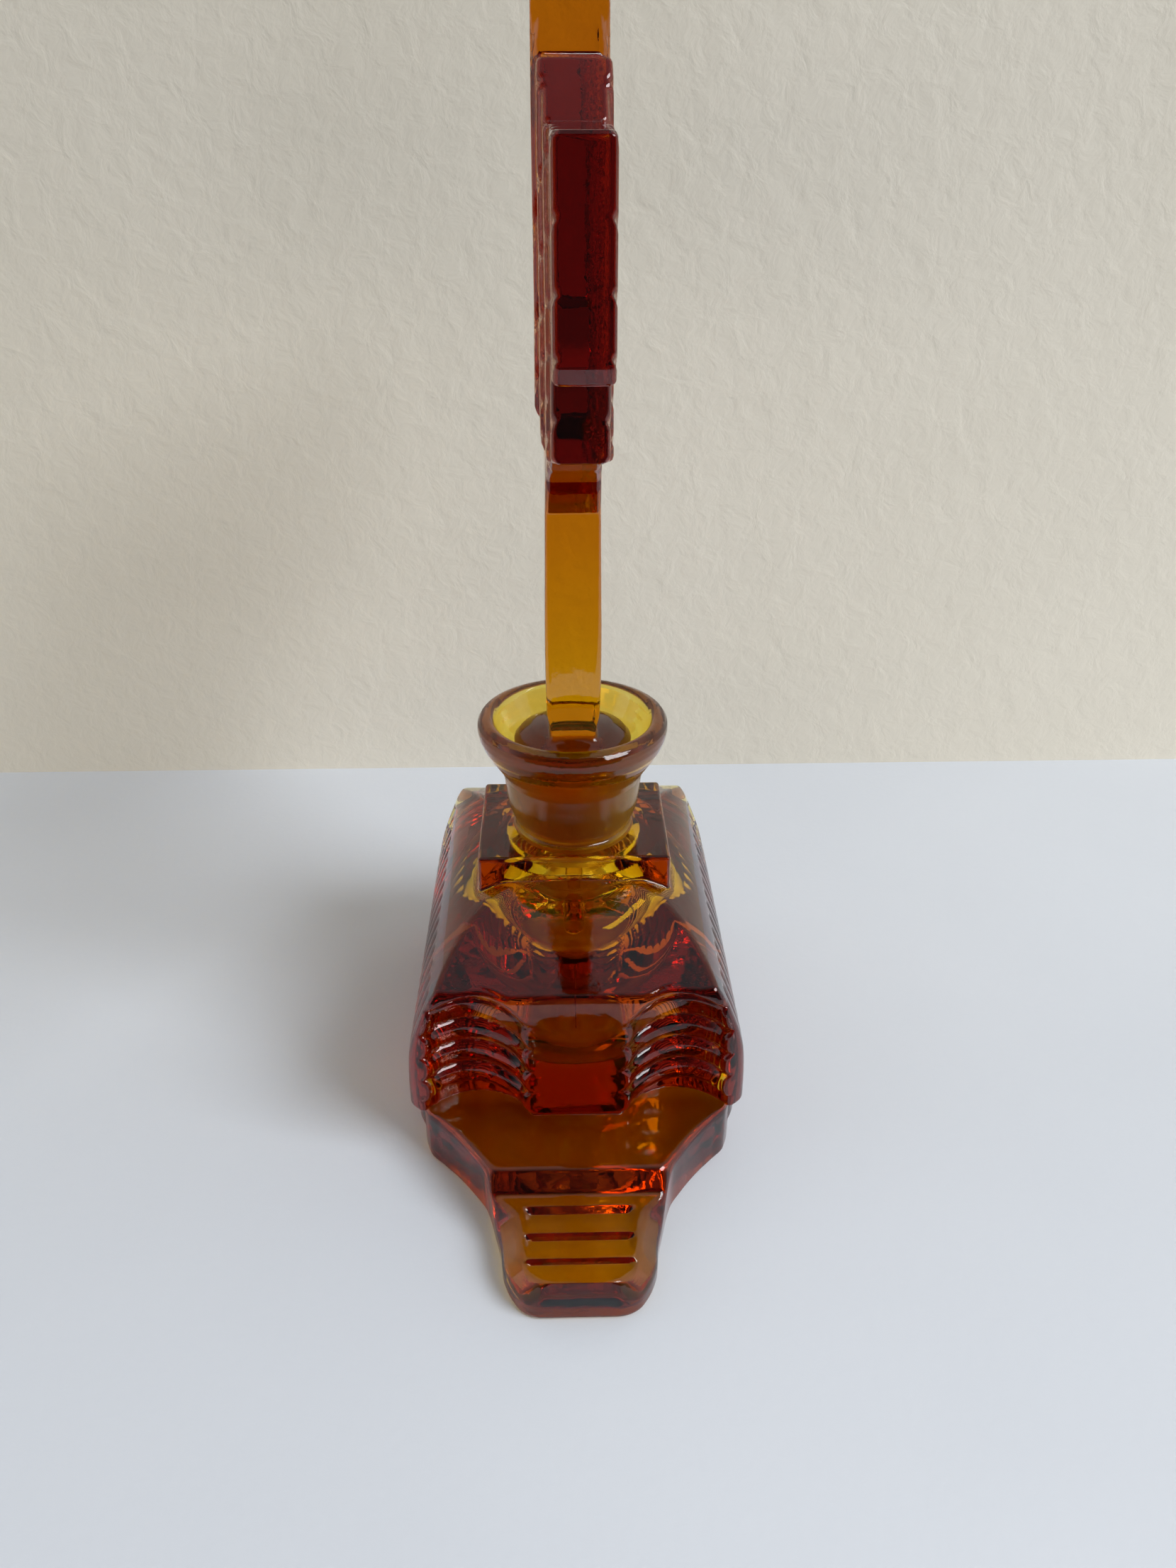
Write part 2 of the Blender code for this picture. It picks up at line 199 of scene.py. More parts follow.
def polygon(points, u, v):
    """The signed distance to a closed outline in the plane."""
    corners = np.array(points, float)
    nearest = np.full(np.broadcast(u, v).shape, 1e9)
    inside = np.zeros(nearest.shape, bool)
    for (au, av), (bu, bv) in zip(corners, np.roll(corners, -1, axis=0)):
        du, dv = bu - au, bv - av
        pu, pv = u - au, v - av
        t = np.clip((pu * du + pv * dv) / (du * du + dv * dv), 0, 1)
        nearest = np.minimum(nearest, (pu - t * du) ** 2 + (pv - t * dv) ** 2)
        if dv:
            crosses = (av > v) != (bv > v)
            inside ^= crosses & (pu < du * pv / dv)
    return np.where(inside, -1, 1) * np.sqrt(nearest)


def rounded_box(x, y, z, half, low, high, radius):
    middle, half_z = (low + high) / 2, (high - low) / 2
    qx = x - half[0] + radius
    qy = y - half[1] + radius
    qz = np.abs(z - middle) - half_z + radius
    outside = np.sqrt(np.maximum(qx, 0) ** 2 + np.maximum(qy, 0) ** 2 + np.maximum(qz, 0) ** 2)
    return outside + np.minimum(np.maximum(np.maximum(qx, qy), qz), 0) - radius


plinth_half_width = course(PLINTH_HALF_WIDTH)
plinth_side_height = course(PLINTH_SIDE_HEIGHT)
vault = course(VAULT)
plaque_half_thickness = course(PLAQUE_HALF_THICKNESS)


def plinth_field(x, y, z):
    """The plinth: a flat top that steps down to a long tongue at each end, with bevelled sides."""
    side = below(y, plinth_half_width, x)
    step = (z - PLINTH_FLAT_Z + STEP_SLOPE * (x - STEP_TOP_X)) / math.hypot(1, STEP_SLOPE)
    top = smooth_max(z - PLINTH_FLAT_Z, step, 0.5)
    top = smooth_min(top, 0.8 * (z - TONGUE_Z + tongue_steps(x, y)), 0.4)
    shoulder = (y - plinth_half_width(x)[0]) * SIDE_BEVEL + z - plinth_side_height(x)[0]
    field = smooth_max(side, shoulder / math.hypot(1, SIDE_BEVEL), 0.5)
    field = smooth_max(field, top, 0.6)
    field = smooth_max(field, x - PLINTH_END_X, 1.2)
    return smooth_max(field, -z, 0.7)


def tongue_steps(x, y):
    """How far the tongue's top stands back behind each of its steps' front edges, which die out sideways."""
    drop = np.zeros_like(x)
    for start, end in zip(TONGUE_STEPS, TONGUE_STEPS[1:]):
        share = np.clip((x - start) / (end - start), 0, 1)
        rise = TONGUE_STEP_DEPTH * np.maximum(1 - share / 0.87, (share - 0.87) / 0.13)
        drop = np.where((x > start) & (x <= end), rise, drop)
    drop = np.where(x > TONGUE_STEPS[-1], TONGUE_STEP_DEPTH, drop)
    drop = drop * step_up(TONGUE_STEPS[1] - 1.0, TONGUE_STEPS[1] - 0.6, x)
    return drop * (1 - step_up(TONGUE_STEP_HALF_LENGTH - 0.4, TONGUE_STEP_HALF_LENGTH + 0.8, y))


def rib_height(z):
    """Five half-round ribs, one above the other."""
    turn = (z - RIB_START_Z) / RIB_PITCH
    across = 2 * (turn - np.floor(turn)) - 1
    round_top = np.sqrt(np.maximum(1 - 0.93 * across * across, 0))
    return np.where((turn > 0) & (turn < RIB_COUNT), RIB_HEIGHT * (round_top - 0.26) / 0.74, 0.0)


def reed_cut(x, z):
    """How far the broad face stands back between its upright half-round reeds."""
    turn = x / REED_PITCH + 0.5
    across = 2 * (turn - np.floor(turn)) - 1
    round_top = np.sqrt(1 - 0.9 * across * across)
    return REED_DEPTH * (1 - round_top) / 0.684 * (1 - step_up(REED_TOP_Z, REED_TOP_Z + 1.5, z))


def above_gable(x, z):
    """The distance above the plane that slopes each end of the upper body."""
    return (z - GABLE_TOP[1] + GABLE_SLOPE * (x - GABLE_TOP[0])) / math.hypot(1, GABLE_SLOPE)


def body_field(x, y, z):
    """The upper body: vaulted reeded faces, sloping ends, and the pilaster and ribbed coves at each end."""
    leaning = np.maximum(z - PILASTER_BEND_Z, 0)
    faces = below(y, vault, z) + reed_cut(x, z)
    field = smooth_max(faces, above_gable(x, z), 0.5)
    pilaster = (x - PILASTER_X + PILASTER_SLOPE * leaning) / math.hypot(1, PILASTER_SLOPE)
    chord = CHORD_NORMAL[0] * (x + PILASTER_SLOPE * leaning * 0.5) + CHORD_NORMAL[1] * y - CHORD_DISTANCE
    qx = np.maximum(x - CORNER[0] + CORNER[2], 0)
    qy = np.maximum(y - CORNER[1] + CORNER[2], 0)
    corner = np.sqrt(qx * qx + qy * qy) - CORNER[2]
    ends = smooth_max(smooth_max(pilaster, chord, 0.4), corner, 0.6)
    above = np.maximum(z - COVE_DOME_Z, 0)
    ribs = rib_height(z - RIB_RISE * step_up(5, 14, y))
    from_cove = np.sqrt((x - COVE_AXIS[0]) ** 2 + (y - COVE_AXIS[1]) ** 2 + above * above)
    cove = COVE_RADIUS - ribs - from_cove
    ends = smooth_max(ends, cove, 0.6)
    ends = ends + NOTCH_INSET * (1 - step_up(7.4, 8.4, z))
    field = smooth_max(field, ends, 0.8)
    return smooth_max(field, 4.0 - z, 0.5)


def cavity_field(x, y, z, radius):
    """The reservoir, the bore, the ground seat and the dish of the lip, all in one."""
    oval = (np.sqrt((x / RESERVOIR_HALF[0]) ** 2 + (y / RESERVOIR_HALF[1]) ** 2) - 1) * RESERVOIR_HALF[1]
    bowl = smooth_max(oval, np.abs(z - RESERVOIR_MIDDLE_Z) - RESERVOIR_HALF_HEIGHT, RESERVOIR_ROUND)
    roof = smooth_max(above_gable(x, z) + RESERVOIR_WALL, z - RESERVOIR_ROOF_Z, 1.0)
    reservoir = smooth_max(bowl, roof, 1.5)
    reservoir = smooth_max(reservoir, below(y, vault, z) + RESERVOIR_WALL, 1.5)
    return smooth_min(reservoir, polygon(NECK_INSIDE, radius, z), 1.2)


def bottle_field(x, y, z):
    """The whole bottle: plinth, upper body, neck block and neck, less the hollow inside."""
    x, y = np.abs(x), np.abs(y)
    radius = np.sqrt(x * x + y * y)
    field = smooth_min(plinth_field(x, y, z), body_field(x, y, z), 0.5)
    block = rounded_box(x, y, z, BLOCK_HALF, 22.0, BLOCK_TOP_Z, 0.55)
    field = smooth_min(field, block, 0.5)
    field = smooth_min(field, polygon(NECK_OUTSIDE, radius, z), 0.9)
    return smooth_max(field, -cavity_field(x, y, z, radius), 0.7)


def fan_cuts(x, z):
    """Fine mitred cuts that spread from the foot of the fan, and die out towards it."""
    away = np.sqrt(x * x + (z - FAN_CENTRE_Z) ** 2)
    turn = np.arctan2(x, z - FAN_CENTRE_Z) / FAN_RAY
    aside = np.abs(turn - np.floor(turn) - 0.5) * FAN_RAY * away
    half_width = np.minimum(FAN_CUT_HALF_WIDTH, 0.2 * FAN_RAY * away + 0.05)
    fade = step_up(12, 20, away) * step_up(FAN_CENTRE_Z + 8, FAN_CENTRE_Z + 14, z)
    return 0.7 * np.maximum(half_width - aside, 0) * fade


def tier_height(x):
    """The middle of the plaque stands forward of its wings in steps."""
    return sum(height * (1 - step_up(edge - 0.5, edge + 0.1, x)) for edge, height in TIERS)


def stopper_field(x, y, z):
    """The stopper: the plaque and its shank, the round plug, and the rod's socket."""
    x, y = np.abs(x), np.abs(y)
    radius = np.sqrt(x * x + y * y)
    outline = PLAQUE_EDGE + [(-edge_x, edge_z) for edge_x, edge_z in reversed(PLAQUE_EDGE)]
    raised = tier_height(x) * step_up(88, 91, z)
    face = below(y, plaque_half_thickness, z) - raised + fan_cuts(x, z)
    field = smooth_max(polygon(outline, x, z), face, 0.6)
    field = smooth_min(field, polygon(PLUG, radius, z), 0.8)
    socket = np.maximum(radius - ROD_RADIUS - SOCKET_GAP, z - ROD_SOCKET_TOP_Z)
    return smooth_max(field, -socket, 0.4)


def spans(*parts):
    """Grid lines from (from, to, step) spans in a row, mirrored about 0 if they start there."""
    pieces = [np.arange(low, high - step / 2, step) for low, high, step in parts]
    line = np.concatenate(pieces + [[parts[-1][1]]])
    return np.concatenate([-line[:0:-1], line]) if parts[0][0] == 0 else line


# How far to each side of the surface a sharp edge is felt, for the wear along it.
EDGE_REACH = 0.35

# The two ends of each of a grid cell's twelve edges.
EDGE_ENDS = [((0, 0, 0), (1, 0, 0)), ((0, 1, 0), (1, 1, 0)), ((0, 0, 1), (1, 0, 1)), ((0, 1, 1), (1, 1, 1)),
             ((0, 0, 0), (0, 1, 0)), ((1, 0, 0), (1, 1, 0)), ((0, 0, 1), (0, 1, 1)), ((1, 0, 1), (1, 1, 1)),
             ((0, 0, 0), (0, 0, 1)), ((1, 0, 0), (1, 0, 1)), ((0, 1, 0), (0, 1, 1)), ((1, 1, 0), (1, 1, 1))]


def net(field, xs, ys, zs):
    """Points and quads of a closed mesh on a field's zero level: one point in each grid cell it crosses."""
    half_x, half_y = xs[xs >= 0], ys[ys >= 0]
    part = field(half_x[:, None, None], half_y[None, :, None], zs[None, None, :])
    value = np.concatenate([part[:0:-1], part], axis=0)
    value = np.concatenate([value[:, :0:-1], value], axis=1)
    solid = value < 0
    cells = tuple(n - 1 for n in value.shape)
    some = np.zeros(cells, bool)
    every = np.ones(cells, bool)
    for i, j, k in np.ndindex(2, 2, 2):
        corner = solid[i:i + cells[0], j:j + cells[1], k:k + cells[2]]
        some |= corner
        every &= corner
    index = np.argwhere(some & ~every)
    total = np.zeros((len(index), 3))
    count = np.zeros(len(index))
    for start, end in EDGE_ENDS:
        a, b = index + start, index + end
        fa, fb = value[tuple(a.T)], value[tuple(b.T)]
        cut = (fa < 0) != (fb < 0)
        t = np.where(cut, fa / np.where(cut, fa - fb, 1), 0)[:, None]
        pa = np.stack([xs[a[:, 0]], ys[a[:, 1]], zs[a[:, 2]]], axis=1)
        pb = np.stack([xs[b[:, 0]], ys[b[:, 1]], zs[b[:, 2]]], axis=1)
        total += np.where(cut[:, None], pa + t * (pb - pa), 0)
        count += cut
    points = total / count[:, None]
    number = np.full(cells, -1, np.int64)
    number[tuple(index.T)] = np.arange(len(index))
    quads = []
    for axis in range(3):
        u, v = [(1, 2), (2, 0), (0, 1)][axis]
        first = [slice(None)] * 3
        second = [slice(None)] * 3
        first[axis], second[axis] = slice(0, -1), slice(1, None)
        for side in (u, v):
            first[side] = second[side] = slice(1, -1)
        a, b = solid[tuple(first)], solid[tuple(second)]
        for out in (True, False):
            at = np.argwhere((a & ~b) if out else (b & ~a))
            for side in (u, v):
                at[:, side] += 1
            ring = []
            for du, dv in ((-1, -1), (0, -1), (0, 0), (-1, 0)):
                cell = at.copy()
                cell[:, u] += du
                cell[:, v] += dv
                ring.append(number[tuple(cell.T)])
            quads.append(np.stack(ring if out else ring[::-1], axis=1))
    return points, np.concatenate(quads)


def slope_of(field, points, step=0.02):
    """The field's gradient at points, from four nearby samples each."""
    gradient = np.zeros_like(points)
    for direction in ((1, -1, -1), (-1, -1, 1), (-1, 1, -1), (1, 1, 1)):
        sample = points + step * np.array(direction)
        gradient += np.array(direction) * field(*sample.T)[:, None]
    return gradient / (4 * step)


def settle(field, points, rounds=2, most=0.25):
    """Moves points onto the field's zero level."""
    for _ in range(rounds):
        gradient = slope_of(field, points)
        size = np.maximum((gradient**2).sum(axis=1), 0.2)
        move = -(field(*points.T) / size)[:, None] * gradient
        length = np.maximum(np.linalg.norm(move, axis=1), 1e-9)[:, None]
        points = points + move * np.minimum(1, most / length)
    return points


def sculpt(name, field, xs, ys, zs):
    """A smooth-shaded mesh of a field. Its attribute 'edge' says how sharply it bends at each point."""
    points, quads = net(field, xs, ys, zs)
    points = settle(field, points)
    mesh = bpy.data.meshes.new(name)
    mesh.vertices.add(len(points))
    mesh.vertices.foreach_set("co", (points * MM).astype(np.float32).ravel())
    mesh.loops.add(4 * len(quads))
    mesh.loops.foreach_set("vertex_index", quads.astype(np.int32).ravel())
    mesh.polygons.add(len(quads))
    mesh.polygons.foreach_set("loop_start", np.arange(0, 4 * len(quads), 4, dtype=np.int32))
    mesh.update(calc_edges=True)
    mesh.validate()
    mesh.polygons.foreach_set("use_smooth", np.ones(len(mesh.polygons), bool))
    gradient = slope_of(field, points)
    normal = gradient / np.maximum(np.linalg.norm(gradient, axis=1), 1e-9)[:, None]
    bend = field(*(points + EDGE_REACH * normal).T) + field(*(points - EDGE_REACH * normal).T)
    spread = np.zeros(len(points))
    for axis in np.eye(3):
        spread += field(*(points + EDGE_REACH * axis).T) + field(*(points - EDGE_REACH * axis).T)
    edge = np.clip((spread - bend) / (2 * EDGE_REACH), -1, 1)
    mesh.attributes.new("edge", "FLOAT", "POINT").data.foreach_set("value", edge.astype(np.float32))
    mesh.normals_split_custom_set_from_vertices(normal.astype(np.float32).tolist())
    piece = bpy.data.objects.new(name, mesh)
    bpy.context.scene.collection.objects.link(piece)
    return piece


def lathe(name, profile, steps):
    """A closed round solid from (radius, z) points in millimetres that start and end on the axis."""
    rows = []
    points = []
    for radius, z in profile:
        if radius == 0:
            rows.append([len(points)] * steps)
            points.append((0.0, 0.0, z * MM))
        else:
            rows.append([len(points) + i for i in range(steps)])
            for i in range(steps):
                angle = 2 * math.pi * i / steps
                points.append((radius * math.cos(angle) * MM, radius * math.sin(angle) * MM, z * MM))
    faces = []
    for upper, lower in zip(rows, rows[1:]):
        for i in range(steps):
            j = (i + 1) % steps
            ring = [upper[i], lower[i], lower[j], upper[j]]
            faces.append(list(dict.fromkeys(ring)))
    mesh = bpy.data.meshes.new(name)
    mesh.from_pydata(points, [], faces)
    mesh.validate()
    mesh.polygons.foreach_set("use_smooth", np.ones(len(mesh.polygons), bool))
    piece = bpy.data.objects.new(name, mesh)
    bpy.context.scene.collection.objects.link(piece)
    return piece


class Nodes:
    """A short way to write a material's or a world's nodes."""

    def __init__(self, tree):
        self.tree = tree
        tree.nodes.clear()

    def add(self, kind, settings=None, **inputs):
        node = self.tree.nodes.new(kind)
        for key, value in (settings or {}).items():
            setattr(node, key, value)
        for key, value in inputs.items():
            socket = node.inputs[int(key[1:])] if key[1:].isdigit() else node.inputs[key.replace("_", " ")]
            if isinstance(value, bpy.types.NodeSocket):
                self.tree.links.new(value, socket)
            else:
                socket.default_value = value
        return node

    def math(self, operation, a, b=0.0, clamp=False):
        node = self.add("ShaderNodeMath", {"operation": operation, "use_clamp": clamp}, _0=a, _1=b)
        return node.outputs[0]

    def noise(self, place, scale, detail=2.0, roughness=0.5, distortion=0.0):
        node = self.add("ShaderNodeTexNoise", None, Vector=place, Scale=scale, Detail=detail,
                        Roughness=roughness, Distortion=distortion)
        return node.outputs["Fac"]

    def between(self, value, low, high, to_low=0.0, to_high=1.0):
        settings = {"interpolation_type": "SMOOTHSTEP", "clamp": True}
        node = self.add("ShaderNodeMapRange", settings, Value=value)
        for key, number in zip(("From Min", "From Max", "To Min", "To Max"), (low, high, to_low, to_high)):
            node.inputs[key].default_value = number
        return node.outputs["Result"]

    def mix_colour(self, factor, a, b):
        node = self.add("ShaderNodeMix", {"data_type": "RGBA"})
        for index, value in ((0, factor), (6, a), (7, b)):
            if isinstance(value, bpy.types.NodeSocket):
                self.tree.links.new(value, node.inputs[index])
            else:
                node.inputs[index].default_value = value
        return node.outputs[2]


def new_material(name):
    material = bpy.data.materials.new(name)
    material.use_nodes = True
    return material, Nodes(material.node_tree)


def ground_zones(nodes, place, ground):
    """Where the glass is ground: the seat and the plug, and the satin outside of the neck."""
    largest, lowest, highest = ground
    x, y, z = nodes.add("ShaderNodeSeparateXYZ", None, _0=place).outputs
    squares = nodes.math("ADD", nodes.math("MULTIPLY", x, x), nodes.math("MULTIPLY", y, y))
    radius = nodes.math("SQRT", squares)
    below_lip = nodes.between(z, (highest - 0.3) * MM, (highest + 0.3) * MM, 1.0, 0.0)
    inner = nodes.between(radius, largest * MM, (largest + 0.25) * MM, 1.0, 0.0)
    low = nodes.between(z, (lowest - 0.3) * MM, (lowest + 0.3) * MM)
    frosted = nodes.math("MULTIPLY", nodes.math("MULTIPLY", inner, low), below_lip)
    neck = nodes.between(radius, 9.6 * MM, 10.2 * MM, 1.0, 0.0)
    above_block = nodes.between(z, 36.4 * MM, 37.2 * MM)
    satin = nodes.math("MULTIPLY", nodes.math("MULTIPLY", neck, above_block), below_lip)
    return frosted, satin


def tint_and_shade_zone(nodes, tint_and_shade, zone, colour):
    return nodes.mix_colour(zone, tint_and_shade, (*colour, 1.0))


def deeper_tints_and_painted_shade(nodes, place, tint_and_shade, frosted):
    """Deeper, browner colour in the ground seat and the lip; painted shade on the underside's ends, and
    painted near-black shade on the riser of the tongue's step.
    """
    x, _, z = nodes.add("ShaderNodeSeparateXYZ", None, _0=place).outputs
    tint_and_shade = tint_and_shade_zone(nodes, tint_and_shade, frosted, SEAT_TINT)
    lip = nodes.between(z, 46.4 * MM, 47.4 * MM)
    lip = nodes.math("MULTIPLY", lip, nodes.between(z, 51.6 * MM, 52.4 * MM, 1.0, 0.0))
    tint_and_shade = tint_and_shade_zone(nodes, tint_and_shade, lip, LIP_TINT)
    # Painted shade on the underside: darker from about 18 mm out from the middle, lighter and redder under
    # the tongues.
    along = nodes.math("ABSOLUTE", x)
    under = nodes.between(z, 0.1 * MM, 0.3 * MM, 1.0, 0.0)
    plinth = nodes.math("MULTIPLY", under, nodes.between(along, 17.0 * MM, 20.0 * MM))
    tint_and_shade = tint_and_shade_zone(nodes, tint_and_shade, plinth, PLINTH_UNDERSIDE_PAINTED_SHADE)
    tongue = nodes.math("MULTIPLY", under, nodes.between(along, 31.0 * MM, 33.0 * MM))
    tint_and_shade = tint_and_shade_zone(nodes, tint_and_shade, tongue, TONGUE_UNDERSIDE_PAINTED_SHADE)
    # Painted shade: the riser of the tongue's step is painted near black across the whole width.
    step = nodes.math("MULTIPLY", nodes.between(along, 34.3 * MM, 34.7 * MM),
                      nodes.between(along, 36.3 * MM, 36.7 * MM, 1.0, 0.0))
    step = nodes.math("MULTIPLY", step, nodes.between(z, 5.4 * MM, 5.8 * MM))
    return tint_and_shade_zone(nodes, tint_and_shade, step, STEP_PAINTED_SHADE)


def amber_glass(name, ground=None):
    """Clear amber pressed glass. ground is (largest radius, lowest z, highest z) of its ground zone."""
    material, nodes = new_material(name)
    place = nodes.add("ShaderNodeTexCoord").outputs["Object"]
    edge = nodes.add("ShaderNodeAttribute", {"attribute_name": "edge"}).outputs["Fac"]
    waves = nodes.noise(place, 95.0, 2.0, 0.45, 0.3)
    skin = nodes.noise(place, 620.0, 3.0, 0.6)
    grain = nodes.noise(place, 5200.0, 2.0, 0.6)
    cords = nodes.noise(place, 45.0, 4.0, 0.55, 1.6)
    rubbed = nodes.math("MULTIPLY", nodes.between(edge, 0.18, 0.6), nodes.between(skin, 0.5, 0.68))
    roughness = nodes.math("ADD", nodes.between(waves, 0.35, 0.75, 0.012, 0.05),
                           nodes.math("MULTIPLY", rubbed, EDGE_WEAR))
    height = nodes.math("ADD", waves, nodes.math("MULTIPLY", skin, 0.07))
    tint_and_shade = nodes.mix_colour(nodes.between(cords, 0.35, 0.7), (*CLEAR_TINT, 1.0), (*CORD_TINT, 1.0))
    if ground:
        frosted, satin = ground_zones(nodes, place, ground)
        roughness = nodes.math("ADD", roughness, nodes.math("MULTIPLY", satin, SATIN_ROUGHNESS))
        roughness = nodes.math("ADD", roughness, nodes.math("MULTIPLY", frosted, GROUND_ROUGHNESS))
        grit = nodes.math("MULTIPLY", nodes.math("MULTIPLY", grain, frosted), 0.06)
        height = nodes.math("ADD", height, grit)
        # The painted shade on the underside's ends and the tongue's step is mixed into the colour here too.
        tint_and_shade = deeper_tints_and_painted_shade(nodes, place, tint_and_shade, frosted)
    bump = nodes.add("ShaderNodeBump", None, Strength=0.35, Distance=0.0004, Height=height)
    shader = nodes.add("ShaderNodeBsdfPrincipled", None, Base_Color=tint_and_shade, Roughness=roughness,
                       Normal=bump.outputs[0])
    shader.inputs["IOR"].default_value = GLASS_IOR
    shader.inputs["Transmission Weight"].default_value = 1.0
    absorb = nodes.add("ShaderNodeVolumeAbsorption")
    absorb.inputs["Color"].default_value = (*AMBER, 1.0)
    absorb.inputs["Density"].default_value = AMBER_DENSITY
    out = nodes.add("ShaderNodeOutputMaterial")
    nodes.tree.links.new(shader.outputs[0], out.inputs["Surface"])
    nodes.tree.links.new(absorb.outputs[0], out.inputs["Volume"])
    return material


def plain_surface(name, pale, shaded, scale, relief):
    """A painted or paper surface with faint tone changes and a fine relief."""
    material, nodes = new_material(name)
    place = nodes.add("ShaderNodeTexCoord").outputs["Object"]
    blotch = nodes.noise(place, 9.0, 3.0, 0.5)
    rough = nodes.noise(place, scale, 4.0, 0.55, 0.4)
    colour = nodes.mix_colour(nodes.between(blotch, 0.3, 0.7), pale, shaded)
    bump = nodes.add("ShaderNodeBump", None, Strength=0.5, Distance=relief, Height=rough)
    shader = nodes.add("ShaderNodeBsdfPrincipled", None, Base_Color=colour,
                       Roughness=nodes.between(rough, 0.2, 0.8, 0.6, 0.8), Normal=bump.outputs[0])
    out = nodes.add("ShaderNodeOutputMaterial")
    nodes.tree.links.new(shader.outputs[0], out.inputs["Surface"])
    return material


def panel(name, corners, material):
    mesh = bpy.data.meshes.new(name)
    mesh.from_pydata([Vector(c) for c in corners], [], [(0, 1, 2, 3)])
    mesh.materials.append(material)
    piece = bpy.data.objects.new(name, mesh)
    bpy.context.scene.collection.objects.link(piece)
    return piece


def soft_light(name, place, towards, size, power, colour):
    lamp = bpy.data.lights.new(name, "AREA")
    lamp.shape = "RECTANGLE"
    lamp.size, lamp.size_y = size
    lamp.energy = power
    lamp.color = colour
    holder = bpy.data.objects.new(name, lamp)
    bpy.context.scene.collection.objects.link(holder)
    holder.location = place
    holder.rotation_euler = (Vector(towards) - Vector(place)).to_track_quat("-Z", "Y").to_euler()
    return holder


def make_setting():
    """A white table, a cream wall close behind, and the soft light of a bright room."""
    table = plain_surface("table_paper", (0.74, 0.77, 0.82, 1), (0.70, 0.73, 0.78, 1), 900.0, 0.00005)
    wall = plain_surface("wall_paint", (0.78, 0.73, 0.63, 1), (0.73, 0.68, 0.58, 1), 260.0, 0.0006)
    x, y = STAGE_HALF_X, STAGE_HALF_Y
    floor = panel("floor", [(-x, -y, TABLE_Z), (x, -y, TABLE_Z), (x, y, TABLE_Z), (-x, y, TABLE_Z)], table)
    backdrop = panel("backdrop", [(-x, -y, WALL_FOOT_Z), (-x, y, WALL_FOOT_Z), (-x, y, WALL_TOP_Z),
                                  (-x, -y, WALL_TOP_Z)], wall)
    soft_light("window", (0.7, 1.1, 1.1), (0, 0, 0.03), (0.9, 0.7), 23.0, (0.92, 0.96, 1.0))
    wash = soft_light("wall_wash", (0.36, 0.0, 0.08), (-x, 0, 0.05), (1.0, 0.08), 0.72, (1.0, 0.96, 0.88))
    wash.visible_glossy = False
    wash.visible_transmission = False
    world = bpy.data.worlds.new("room_light")
    bpy.context.scene.world = world
    world.use_nodes = True
    nodes = Nodes(world.node_tree)
    away = nodes.add("ShaderNodeTexCoord").outputs["Generated"]
    ahead, _, up = nodes.add("ShaderNodeSeparateXYZ", None, _0=away).outputs
    behind_camera = nodes.between(ahead, 0.0, 0.6, 1.0, 0.05)
    strength = nodes.math("MULTIPLY", behind_camera, nodes.between(up, 0.1, 0.8, 1.0, 0.5))
    glow = nodes.add("ShaderNodeBackground", None, Color=(0.93, 0.95, 1.0, 1), Strength=strength)
    out = nodes.add("ShaderNodeOutputWorld")
    nodes.tree.links.new(glow.outputs[0], out.inputs["Surface"])


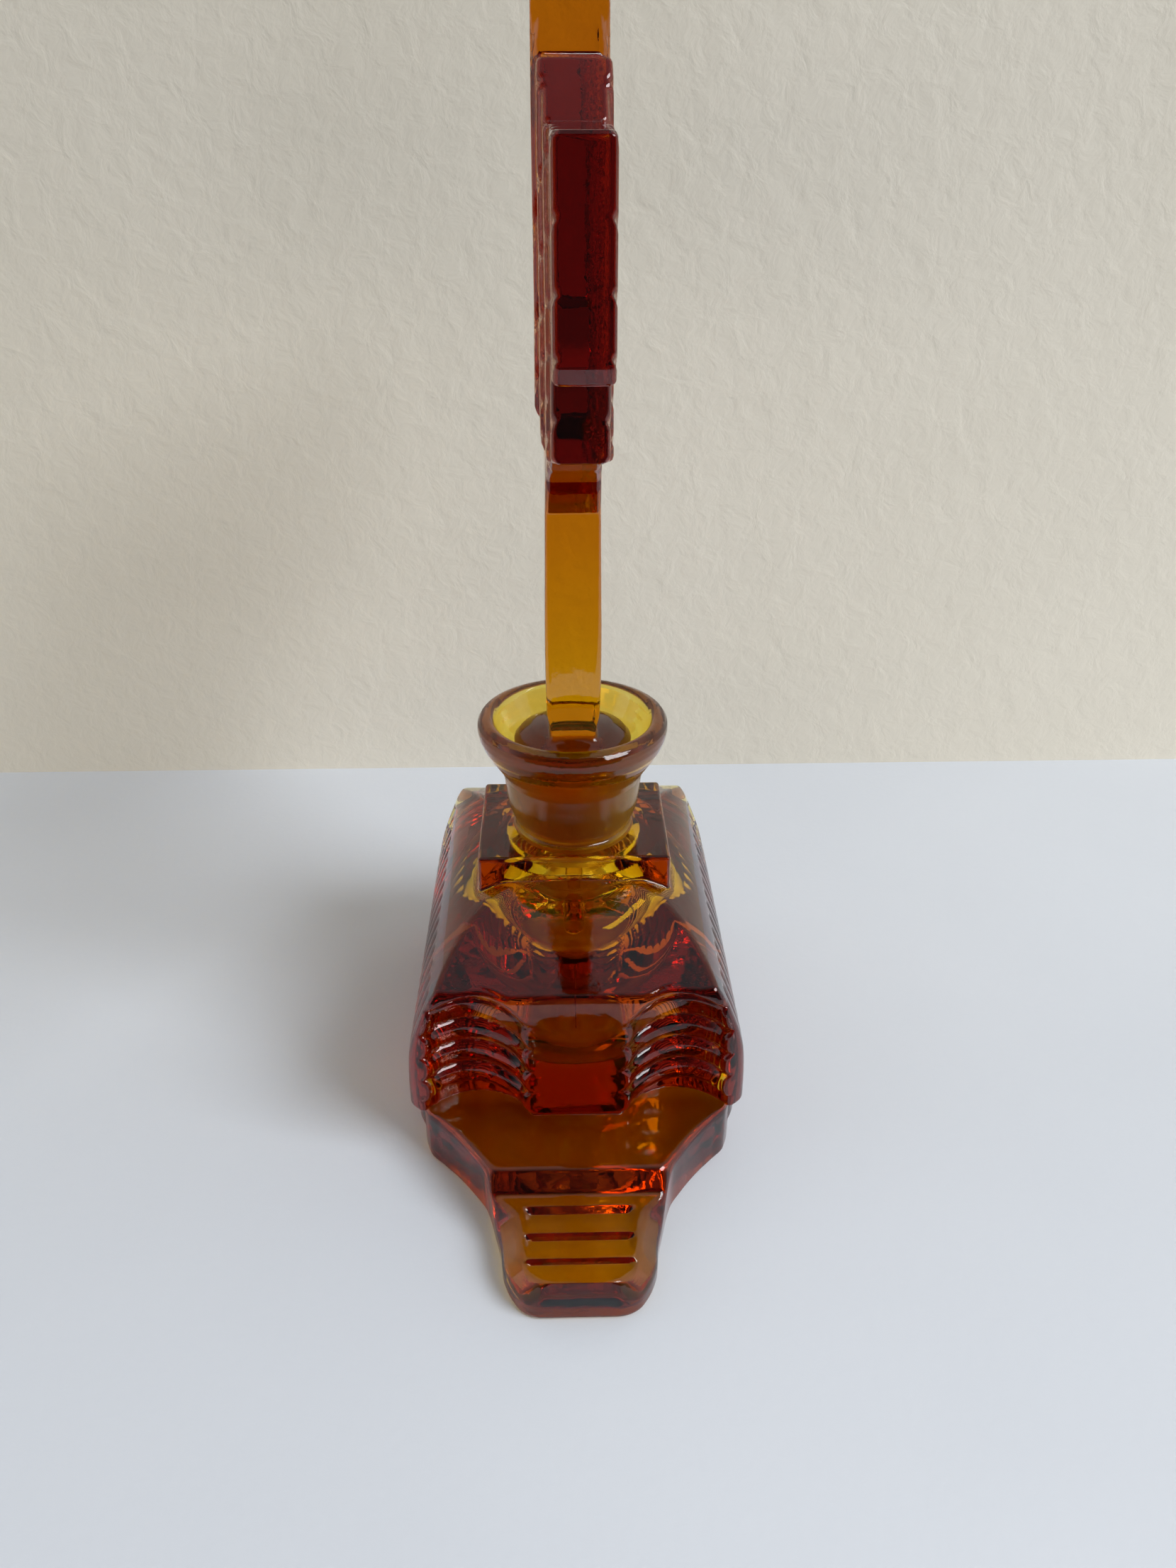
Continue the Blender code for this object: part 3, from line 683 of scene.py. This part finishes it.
def make_camera():
    """Close above the near end, looking down along the bottle."""
    ahead = Vector((-math.cos(CAMERA_YAW), math.sin(CAMERA_YAW), 0))
    forward = ahead * math.cos(CAMERA_PITCH) - Vector((0, 0, 1)) * math.sin(CAMERA_PITCH)
    up = ahead * math.sin(CAMERA_PITCH) + Vector((0, 0, 1)) * math.cos(CAMERA_PITCH)
    right = Vector((math.sin(CAMERA_YAW), math.cos(CAMERA_YAW), 0))
    lens = bpy.data.cameras.new("camera")
    lens.sensor_fit = "VERTICAL"
    lens.sensor_height = 36.0
    lens.lens = CAMERA_LENS
    lens.clip_start = 0.001
    camera = bpy.data.objects.new("camera", lens)
    bpy.context.scene.collection.objects.link(camera)
    turn = Matrix((right, up, -forward)).transposed().to_4x4()
    camera.matrix_world = Matrix.Translation(CAMERA_PLACE) @ turn
    bpy.context.scene.camera = camera


def make_rod():
    """The drawn rod: slightly uneven in its length, with a fire-rounded tip."""
    top = ROD_SOCKET_TOP_Z - SOCKET_GAP
    profile = [(0.0, top), (ROD_RADIUS - 0.3, top), (ROD_RADIUS - 0.08, top - 0.08), (ROD_RADIUS, top - 0.3)]
    for share in np.linspace(0.1, 0.95, 12):
        z = top + share * (ROD_TIP_Z + ROD_RADIUS - top)
        profile.append((ROD_RADIUS * (1 - 0.03 * math.sin(9 * share)), z))
    for i in range(9):
        angle = 0.5 * math.pi * i / 8
        radius = ROD_RADIUS * math.cos(angle) if i < 8 else 0.0
        profile.append((radius, ROD_TIP_Z + ROD_RADIUS * (1 - math.sin(angle))))
    return lathe("dauber_rod_glass", profile, 48)


def dress(piece, material, body, node):
    piece.data.materials.append(material)
    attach(piece, body)
    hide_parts(node)


def main():
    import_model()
    bottle = sculpt("bottle_glass_body", bottle_field,
                    spans((0, 25, 0.25), (25, 40, 0.3), (40, 50.25, 0.25)),
                    spans((0, 22.75, 0.35)),
                    spans((-0.5, 11, 0.25), (11, 34, 0.35), (34, 52.3, 0.3)))
    stopper = sculpt("stopper_glass_body", stopper_field,
                     spans((0, 44.1, 0.35)), spans((0, 7.8, 0.3)), spans((36.0, 128.7, 0.35)))
    stopper.rotation_euler.z = STOPPER_TURN
    rod = make_rod()
    dress(bottle, amber_glass("bottle_amber", (7.3, 30.0, 46.3)), "bottle", "bottle")
    dress(stopper, amber_glass("stopper_amber", (7.6, 30.0, 46.7)), "stopper", "stopper")
    dress(rod, amber_glass("rod_amber"), "dauber", "dauber_rod")
    make_setting()
    make_camera()
    scene = bpy.context.scene
    scene.view_settings.view_transform = "Standard"
    scene.cycles.max_bounces = 24
    scene.cycles.transmission_bounces = 24
    scene.cycles.use_denoising = True


main()
